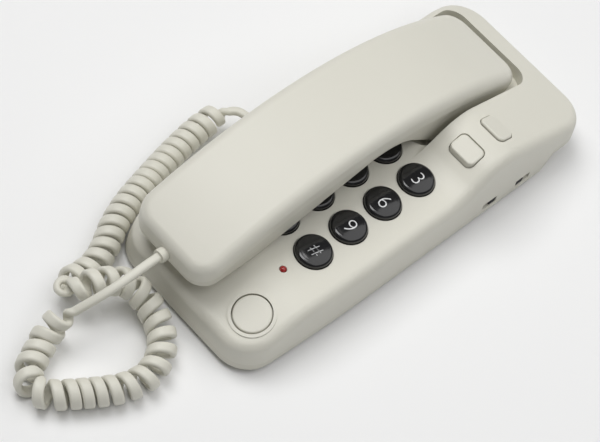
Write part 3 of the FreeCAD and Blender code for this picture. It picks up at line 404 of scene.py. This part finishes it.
def makeFigure(name, text, place):
    deselectAll()
    bpy.ops.object.text_add(location=(0, 0, 0))
    figure = bpy.context.object
    figure.data.body = text
    figure.data.size = keyLook["textSize"]
    figure.data.offset = keyLook["textThinning"]
    figure.data.resolution_u = keyLook["textSteps"]
    makeActive(figure)
    bpy.ops.object.convert(target="MESH")
    figure = bpy.context.object
    figure.name = "figure_" + name
    spots = np.array([v.co for v in figure.data.vertices])
    low, high = spots.min(0), spots.max(0)
    scale = signScale.get(name, 1.0) * keyLook["figureHeight"] / (high[1] - low[1])
    shift = keyLook["figureShift"]
    for vertex in figure.data.vertices:
        x = (vertex.co.x - (low[0] + high[0]) / 2) * scale + shift[0]
        y = (vertex.co.y - (low[1] + high[1]) / 2) * scale + shift[1]
        vertex.co = (x, y, keyLook["figureLift"] - domeDrop(math.hypot(x, y)))
    figure.location = place
    applyPlace(figure)
    setMaterial(figure, figureWhite)
    rideOn(figure, "key_" + name, "key_black")


def makeKeys():
    low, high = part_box("key_5")
    model = modelKey(high.z - low.z)
    for name, text in keyFigures.items():
        low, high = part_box("key_" + name)
        place = Vector(((low.x + high.x) / 2, (low.y + high.y) / 2, high.z))
        cap = copyTo(model, "key_" + name + "_cap", place)
        rideOn(cap, "key_" + name, "key_black", "key_" + name)
        makeFigure(name, text, place)
    bpy.data.objects.remove(model)


makeKeys()
print("keys made")


# lamp, feet, slide knobs, screws and socket contacts

lampLook = {"radius": 0.0015, "flange": 0.002, "flangeHeight": 0.0005, "rounding": 0.00135,
            "roundSteps": 10, "sides": 48, "smoothDeg": 40.0}


def makeLamp():
    low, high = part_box("led_lens")
    look = lampLook
    top = high.z - low.z
    cap = roundCorner(look["radius"], 0, top, top - look["rounding"], look["roundSteps"])
    profile = [(0, 0), (look["flange"], 0), (look["flange"], look["flangeHeight"]),
               (look["radius"], look["flangeHeight"])] + cap
    lamp = lathe("led_lens_shape", profile, look["sides"])
    lamp.location = ((low.x + high.x) / 2, (low.y + high.y) / 2, low.z)
    applyPlace(lamp)
    smoothByAngle(lamp, look["smoothDeg"])
    setMaterial(lamp, lampRed)
    rideOn(lamp, "base", "lamp_red", "led_lens")


footLook = {"radius": 0.005, "rounding": 0.0007, "roundSteps": 5, "hollow": 0.0032,
            "hollowDepth": 0.0005, "sides": 64, "smoothDeg": 35.0}


def makeFeet():
    low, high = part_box("base_feet")
    look = footLook
    radius, rounding = look["radius"], look["rounding"]
    edge = roundCorner(radius, radius - rounding, 0, rounding, look["roundSteps"])[::-1]
    profile = [(0, look["hollowDepth"]), (look["hollow"] - look["hollowDepth"], look["hollowDepth"]),
               (look["hollow"], 0)] + edge + [(radius, high.z), (0, high.z)]
    model = lathe("footModel", profile, look["sides"])
    smoothByAngle(model, look["smoothDeg"])
    feet = [copyTo(model, "foot", (x, y, 0)) for x in (low.x + radius, high.x - radius)
            for y in (low.y + radius, high.y - radius)]
    bpy.data.objects.remove(model)
    whole = joinAll(feet, "base_feet_shape")
    setMaterial(whole, footRubber)
    rideOn(whole, "base", "foot_rubber", "base_feet")


knobLook = {"rib": 0.00045, "ribWidth": 0.0005, "ribs": 4, "rounding": 0.0002, "smoothDeg": 35.0}


def makeKnob(node):
    # a rounded slider with upright finger ribs on its outer face
    low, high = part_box(node)
    look = knobLook
    face = high.x - look["rib"]
    parts = [bevelBox(node + "_body", low, (face, high.y, high.z), look["rounding"])]
    step = (high.y - low.y) / look["ribs"]
    for i in range(look["ribs"]):
        y = low.y + step * (i + 0.5)
        parts.append(bevelBox(node + "_rib", (face - look["rib"], y - look["ribWidth"] / 2, low.z),
                              (high.x, y + look["ribWidth"] / 2, high.z), look["rounding"] / 2))
    knob = joinAll(parts, node + "_shape")
    smoothByAngle(knob, look["smoothDeg"])
    setMaterial(knob, knobBlack)
    rideOn(knob, node, "knob_black", node)


screwLook = {"rounding": 0.0006, "roundSteps": 6, "recess": 0.0011, "arm": 0.0009, "depth": 0.0011,
             "recessRounding": 0.00015, "pitch": 0.0009, "thread": 0.0003, "crestShare": 0.4,
             "sides": 40, "smoothDeg": 30.0}
baseScrew = {"headRadius": 0.0028, "headHeight": 0.002, "shankRadius": 0.0014, "length": 0.009}
handsetScrew = {"headRadius": 0.0025, "headHeight": 0.0018, "shankRadius": 0.0013, "length": 0.008}


def modelScrew(size):
    # pan head at the bottom with a cross recess, threaded shank above it
    look = screwLook
    head, headHeight = size["headRadius"], size["headHeight"]
    crest, length = size["shankRadius"], size["length"]
    root = crest - look["thread"]
    dome = roundCorner(head, 0, 0, look["rounding"], look["roundSteps"])[::-1]
    profile = dome + [(head, headHeight), (root, headHeight)]
    turns = int(length / look["pitch"]) - 1
    for i in range(turns):
        z = headHeight + look["pitch"] * (i + 0.5)
        profile += [(root, z), (crest, z + look["pitch"] * look["crestShare"])]
    profile += [(crest / 2, headHeight + length - look["pitch"]), (0, headHeight + length)]
    screw = lathe("screwModel", profile, look["sides"])
    smoothByAngle(screw, look["smoothDeg"])
    for arm in ((look["recess"] * 2, look["arm"]), (look["arm"], look["recess"] * 2)):
        cutter = bevelBox("crossCutter", (-arm[0] / 2, -arm[1] / 2, -look["depth"]),
                          (arm[0] / 2, arm[1] / 2, look["depth"]), look["recessRounding"])
        cut = screw.modifiers.new("crossRecess", "BOOLEAN")
        cut.operation = "DIFFERENCE"
        cut.object = cutter
        applyModifiers(screw)
        bpy.data.objects.remove(cutter)
    return screw


def makeScrews(node, body, model, places):
    copies = [copyTo(model, node + "_one", place) for place in places]
    whole = joinAll(copies, node + "_shape")
    setMaterial(whole, screwSteel)
    rideOn(whole, body, "screw_steel", node)
    bpy.data.objects.remove(model)


def makeAllScrews():
    low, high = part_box("base_screws")
    r = baseScrew["headRadius"]
    places = [(x, y, low.z) for x in (low.x + r, high.x - r) for y in (low.y + r, high.y - r)]
    makeScrews("base_screws", "base", modelScrew(baseScrew), places)
    low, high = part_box("handset_screws")
    r = handsetScrew["headRadius"]
    x = (low.x + high.x) / 2
    tall = handsetScrew["headHeight"] + handsetScrew["length"]
    places = [(x, low.y + r, high.z - tall), (x, high.y - r, low.z)]
    makeScrews("handset_screws", "handset", modelScrew(handsetScrew), places)


contactLook = {"count": 4, "pitch": 0.00102, "width": 0.00045, "halfLength": 0.0045, "rounding": 0.0001,
               "setback": 0.0062, "drop": 0.0026, "tiltDeg": 14.0}


def makeContacts():
    # sprung brass wires in the roof of the line socket
    low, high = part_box("line_jack")
    look = contactLook
    middle = (low.x + high.x) / 2
    wires = []
    for i in range(look["count"]):
        x = middle + (i - (look["count"] - 1) / 2) * look["pitch"]
        half = Vector((look["width"] / 2, look["halfLength"], look["width"] / 2))
        wire = bevelBox("contact", -half, half, look["rounding"])
        wire.location = (x, high.y - look["setback"], high.z - look["drop"])
        wire.rotation_euler = (math.radians(look["tiltDeg"]), 0, 0)
        applyPlace(wire)
        wires.append(wire)
    whole = joinAll(wires, "line_contacts")
    setMaterial(whole, discBrass)
    rideOn(whole, "base", "disc_brass")


makeLamp()
makeFeet()
makeKnob("ringer_switch_knob")
makeKnob("dial_switch_knob")
makeAllScrews()
makeContacts()
print("small pieces made")


# curly cord

cordLook = {"wire": 0.0038, "coil": 0.00475, "width": 0.0047, "thickness": 0.0027, "leadWidth": 0.0037,
            "leadThickness": 0.0031, "turnGap": 0.0003, "widestPitch": 0.0072, "ramp": 0.010,
            "rampPitch": 0.010, "handsetLead": 0.036, "plugLead": 0.011, "hairpinReach": 0.007,
            "hairpinShare": 0.45, "hairpinPitch": 0.0085, "hairpin": (-0.0315, -0.1355, 0.0115),
            "bendReach": 0.002, "floorGap": 0.00015, "exitHeight": 0.0295, "splineSteps": 32,
            "step": 0.0001, "ringStep": 0.0008, "cornerPoints": 4, "edgeShare": 0.42, "smoothDeg": 60.0,
            "neighbourShare": 0.95, "endTurns": 0.3, "blendStart": (-0.01614, -0.10738, 0.01896),
            "blendEnd": (-0.01399, -0.10609, 0.02756)}


def cordRoute():
    rest = cordLook["coil"] + cordLook["thickness"] / 2 + cordLook["floorGap"]
    grommetLow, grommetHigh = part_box("cord_grommet")
    plugLow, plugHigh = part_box("cord_plug")
    wire = cordLook["wire"]
    start = Vector(((grommetLow.x + grommetHigh.x) / 2, grommetLow.y, cordLook["exitHeight"]))
    end = Vector((plugLow.x, (plugLow.y + plugHigh.y) / 2, (plugLow.z + plugHigh.z) / 2))
    middle = [
        (-0.0135, -0.120, 0.0285), (-0.0145, -0.130, 0.0255), (-0.0175, -0.140, 0.0195),
        (-0.021, -0.148, 0.0125), (-0.0205, -0.154, 0.0075), (-0.0175, -0.160, rest),
        (-0.0145, -0.1665, rest), (-0.0105, -0.1715, rest), (-0.0045, -0.1725, rest),
        (0.001, -0.168, rest), (0.0055, -0.161, rest), (0.011, -0.152, rest),
        (0.0155, -0.143, rest), (0.017, -0.1325, rest), (0.013, -0.1225, rest),
        (0.006, -0.116, rest), (-0.002, -0.113, 0.007), (-0.0105, -0.112, 0.009),
        (-0.018, -0.1145, 0.0125), (-0.022, -0.121, 0.015), (-0.0245, -0.128, 0.016),
        (-0.0275, -0.1345, 0.015), (-0.032, -0.1375, 0.0115), (-0.0345, -0.133, 0.0075),
        (-0.034, -0.126, rest), (-0.034, -0.1185, rest), (-0.0372, -0.1096, rest),
        (-0.0442, -0.099, rest), (-0.0492, -0.087, rest), (-0.0525, -0.074, rest),
        (-0.0555, -0.062, rest), (-0.058, -0.050, 0.0065), (-0.0595, -0.039, 0.0075),
        (-0.0595, -0.029, 0.009), (-0.057, -0.021, 0.0102)]
    first = start - Vector((0, wire, 0))
    last = end - Vector((wire, 0, 0))
    points = [first, first - Vector((0, wire, 0))] + [Vector(p) for p in middle]
    points += [last - Vector((wire, 0, 0)), last]
    return start, points, end


def readSpline(points):
    curve = bpy.data.curves.new("cordRoute", "CURVE")
    curve.dimensions = "3D"
    curve.resolution_u = cordLook["splineSteps"]
    spline = curve.splines.new("NURBS")
    spline.points.add(len(points) - 1)
    for spot, point in zip(spline.points, points):
        spot.co = (*point, 1)
    spline.order_u = 3
    spline.use_endpoint_u = True
    holder = bpy.data.objects.new("cordRoute", curve)
    bpy.context.scene.collection.objects.link(holder)
    bpy.context.view_layer.update()
    mesh = bpy.data.meshes.new_from_object(holder)
    line = np.array([v.co for v in mesh.vertices])
    bpy.data.objects.remove(holder)
    return line


def wayGone(line):
    return np.concatenate([[0], np.cumsum(np.linalg.norm(np.diff(line, axis=0), axis=1))])


def evenly(values, gone, step):
    places = np.linspace(0, gone[-1], int(gone[-1] / step))
    return np.stack([np.interp(places, gone, values[:, k]) for k in range(values.shape[1])], 1)


def widened(values, reach):
    padded = np.pad(values, reach, mode="edge")
    windows = np.lib.stride_tricks.sliding_window_view(padded, 2 * reach + 1)
    peaks = np.pad(windows.max(1), reach, mode="edge")
    return np.lib.stride_tricks.sliding_window_view(peaks, 2 * reach + 1).mean(1)


def eased(value):
    value = np.clip(value, 0, 1)
    return value * value * (3 - 2 * value)


def turnFrame(ahead, firstSide):
    sides = np.zeros_like(ahead)
    side = firstSide
    for i, heading in enumerate(ahead):
        side = side - heading * side.dot(heading)
        side = side / np.linalg.norm(side)
        sides[i] = side
    return sides


def headingsOf(line):
    ahead = np.gradient(line, axis=0)
    return ahead / np.linalg.norm(ahead, axis=1)[:, None]


def helixLine(axis, step):
    look = cordLook
    ahead = headingsOf(axis)
    bend = np.linalg.norm(np.gradient(ahead, step, axis=0), axis=1)
    bend = widened(bend, int(look["bendReach"] / step))
    gone = np.arange(len(axis)) * step
    kink = gone[np.linalg.norm(axis - np.array(look["hairpin"]), axis=1).argmin()]
    grown = eased((gone - look["handsetLead"]) / look["ramp"])
    grown = grown * eased((gone[-1] - gone - look["plugLead"]) / look["ramp"])
    pulled = np.exp(-((gone - kink) / look["hairpinReach"]) ** 4)
    radius = look["coil"] * grown * (1 - (1 - look["hairpinShare"]) * pulled)
    pitch = (look["width"] + look["turnGap"]) / (1 - bend * radius)
    pitch = np.minimum(pitch, look["widestPitch"])
    pitch = pitch + np.maximum(look["hairpinPitch"] - pitch, 0) * pulled
    pitch = pitch + np.maximum(look["rampPitch"] - pitch, 0) * (1 - grown)
    turns = np.concatenate([[0], np.cumsum(np.where(grown > 0, step / pitch, 0))[:-1]])
    side = turnFrame(ahead, np.cross((0, 0, 1), ahead[0]))
    over = np.cross(ahead, side)
    around = 2 * np.pi * turns + np.pi / 2
    out = side * np.cos(around)[:, None] + over * np.sin(around)[:, None]
    helix = axis + out * radius[:, None]
    # the flat wire keeps its width, but never so wide that it meets the next turn
    order = np.arange(len(helix))
    wide = look["leadWidth"] + (look["width"] - look["leadWidth"]) * grown
    margin = look["endTurns"]
    for shift in (-1, 1):
        other = np.interp(turns + shift, turns, order).astype(int)
        apart = np.linalg.norm(helix[other] - helix, axis=1)
        near = (grown > margin) & (turns + shift > margin) & (turns + shift < turns[-1] - margin)
        wide = np.where(near, np.minimum(wide, look["neighbourShare"] * apart), wide)
    thick = look["leadThickness"] + (look["thickness"] - look["leadThickness"]) * grown
    return np.concatenate([helix, out, wide[:, None], thick[:, None]], 1)


def makeTube(name, path, out, wide, thick):
    # a flat wire with round edges, its thin way turned to the outside of the coil
    look = cordLook
    ahead = headingsOf(path)
    over = out - ahead * (out * ahead).sum(1)[:, None]
    over = over / np.linalg.norm(over, axis=1)[:, None]
    side = np.cross(ahead, over)
    rounding = thick * look["edgeShare"]
    ring = []
    for turn in range(4):
        across = (wide / 2 - rounding) * (1 if turn in (0, 3) else -1)
        up = (thick / 2 - rounding) * (1 if turn in (0, 1) else -1)
        for k in range(look["cornerPoints"]):
            angle = math.pi / 2 * (turn + k / (look["cornerPoints"] - 1))
            ring.append(side * (across + rounding * math.cos(angle))[:, None]
                        + over * (up + rounding * math.sin(angle))[:, None])
    sides = len(ring)
    spots = (path[:, None] + np.stack(ring, 1)).reshape(-1, 3)
    faces = []
    for i in range(len(path) - 1):
        for k in range(sides):
            a = i * sides + k
            b = i * sides + (k + 1) % sides
            faces.append((a, b, b + sides, a + sides))
    faces.append(tuple(range(sides))[::-1])
    faces.append(tuple(len(spots) - sides + k for k in range(sides)))
    mesh = bpy.data.meshes.new(name)
    mesh.from_pydata(spots.tolist(), [], faces)
    mesh.update()
    piece = linkNew(name, mesh)
    smoothByAngle(piece, look["smoothDeg"])
    return piece


def makeCord():
    start, points, end = cordRoute()
    line = readSpline(points)
    axis = evenly(line, wayGone(line), cordLook["step"])
    wire = helixLine(axis, wayGone(axis)[1])
    first, last = wire[0].copy(), wire[-1].copy()
    first[:3], last[:3] = start, end
    wire = np.concatenate([[first], wire, [last]])
    wire = evenly(wire, wayGone(wire[:, :3]), cordLook["ringStep"])
    path = wire[:, :3]
    cord = makeTube("handset_cord_coil", path, wire[:, 3:6], wire[:, 6], wire[:, 7])
    setMaterial(cord, cordVinyl)
    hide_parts("handset_cord")
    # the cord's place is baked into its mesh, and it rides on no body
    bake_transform(cord)


makeCord()
print("cord made")


# floor, light and camera

stageLook = {"floor": (0.90, 0.90, 0.898), "floorSize": 8.0, "floorRough": 0.9, "floorGloss": 0.1,
             "world": 0.13}
lightLooks = [
    {"name": "overheadBox", "place": (0.42, 0.45, 1.05), "aim": None, "size": (1.20, 1.90), "power": 9.0},
    {"name": "sideBox", "place": (-0.60, -0.05, 1.25), "aim": (0, -0.03, 0), "size": (0.80, 0.80),
     "power": 10.6}]
shotLook = {"target": (0.00614, -0.04557, 0.02577), "azimuth": 28.99, "elevation": 55.02, "roll": 21.38,
            "distance": 0.87548, "lens": 130.0, "sensor": 36.0}


def makeFloor():
    deselectAll()
    bpy.ops.mesh.primitive_plane_add(size=stageLook["floorSize"], location=(0, 0, 0))
    floor = bpy.context.object
    floor.name = "floor"
    material = bpy.data.materials.new("floorPale")
    material.use_nodes = True
    shader = material.node_tree.nodes["Principled BSDF"]
    shader.inputs["Base Color"].default_value = (*stageLook["floor"], 1)
    shader.inputs["Roughness"].default_value = stageLook["floorRough"]
    shader.inputs["Specular IOR Level"].default_value = stageLook["floorGloss"]
    setMaterial(floor, material)


def makeLight():
    world = bpy.data.worlds.new("softRoom")
    world.use_nodes = True
    world.node_tree.nodes["Background"].inputs["Color"].default_value = (1, 1, 1, 1)
    world.node_tree.nodes["Background"].inputs["Strength"].default_value = stageLook["world"]
    bpy.context.scene.world = world
    for look in lightLooks:
        lamp = bpy.data.lights.new(look["name"], "AREA")
        lamp.shape = "RECTANGLE"
        lamp.size, lamp.size_y = look["size"]
        lamp.energy = look["power"]
        box = linkNew(look["name"], lamp)
        box.location = look["place"]
        if look["aim"]:
            towards = Vector(look["aim"]) - Vector(look["place"])
            box.rotation_euler = towards.to_track_quat("-Z", "Y").to_euler()


def makeCamera():
    a = math.radians(shotLook["azimuth"])
    e = math.radians(shotLook["elevation"])
    r = math.radians(shotLook["roll"])
    back = Vector((math.sin(a) * math.cos(e), -math.cos(a) * math.cos(e), math.sin(e)))
    right = Vector((math.cos(a), math.sin(a), 0))
    up = back.cross(right)
    rolledRight = right * math.cos(r) + up * math.sin(r)
    rolledUp = up * math.cos(r) - right * math.sin(r)
    data = bpy.data.cameras.new("shot")
    data.lens = shotLook["lens"]
    data.sensor_width = shotLook["sensor"]
    shot = linkNew("shot", data)
    turn = Matrix((rolledRight, rolledUp, back)).transposed()
    place = Vector(shotLook["target"]) + back * shotLook["distance"]
    shot.matrix_world = Matrix.Translation(place) @ turn.to_4x4()
    bpy.context.scene.camera = shot


makeFloor()
makeLight()
makeCamera()
bpy.context.scene.view_settings.view_transform = "Standard"
print("stage made")

bpy.context.view_layer.update()
